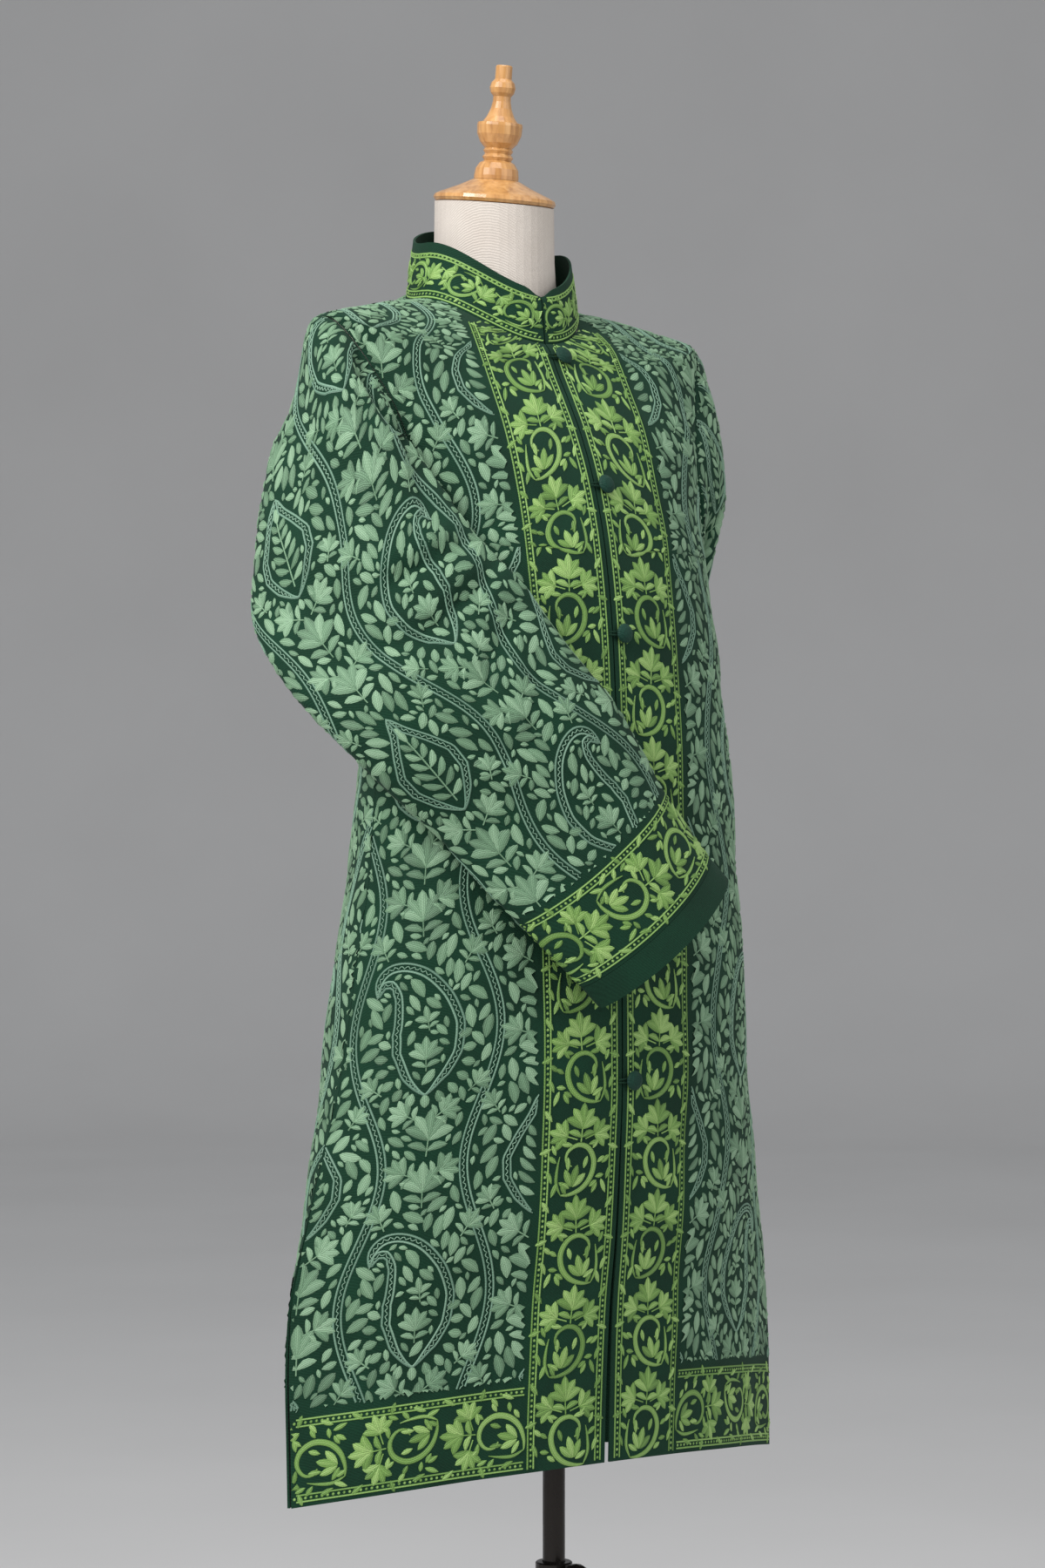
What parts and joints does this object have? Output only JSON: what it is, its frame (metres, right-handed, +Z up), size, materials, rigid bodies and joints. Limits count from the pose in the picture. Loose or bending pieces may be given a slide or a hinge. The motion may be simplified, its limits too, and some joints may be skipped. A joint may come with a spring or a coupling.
{
  "type": "long jacket on a dress form",
  "caption": "Long green wool jacket with a stand collar and chain-stitch embroidery, on a linen dress form with a turned wooden neck cap and a round-footed stand.",
  "frame": {"origin": "middle of the stand's foot, on the floor and on the pole's axis", "axes": "+Z up along the pole, -Y toward the jacket's front, +X to the wearer's left"},
  "size_m": [0.5375, 0.38, 1.6214],
  "materials": {
    "plain_cloth": "plain dark bottle-green wool, matte",
    "embroidered_cloth": "dark green wool nearly covered by sage and yellow-green chain stitch",
    "button_cloth": "dark green cloth drawn over a domed button",
    "linen": "smooth cream linen, matte",
    "turned_wood": "turned light wood under clear gloss varnish",
    "dark_steel": "near-black gloss enamel"
  },
  "bodies": {
    "stand": {"foot": "dark_steel", "lower_tube": "dark_steel", "clamp_ring": "dark_steel", "clamp_knob": "dark_steel"},
    "form": {"front_right": "embroidered_cloth", "front_left": "embroidered_cloth", "back": "embroidered_cloth", "collar": "embroidered_cloth", "sleeve_right": "embroidered_cloth", "sleeve_left": "embroidered_cloth", "cuff_band_right": "plain_cloth", "cuff_band_left": "plain_cloth", "form_torso": "linen", "neck_cap": "turned_wood", "finial": "turned_wood", "pole": "dark_steel", "button_1": "button_cloth", "button_2": "button_cloth", "button_3": "button_cloth", "button_4": "button_cloth", "button_5": "button_cloth", "button_6": "button_cloth", "button_loop_1": "plain_cloth", "button_loop_2": "plain_cloth", "button_loop_3": "plain_cloth", "button_loop_4": "plain_cloth", "button_loop_5": "plain_cloth", "button_loop_6": "plain_cloth"}
  },
  "joints": [
    {"name": "height_slide", "type": "slide", "parent": "stand", "child": "form", "axis": [0, 0, 1], "range_m": [-0.05, 0.15]}
  ]
}
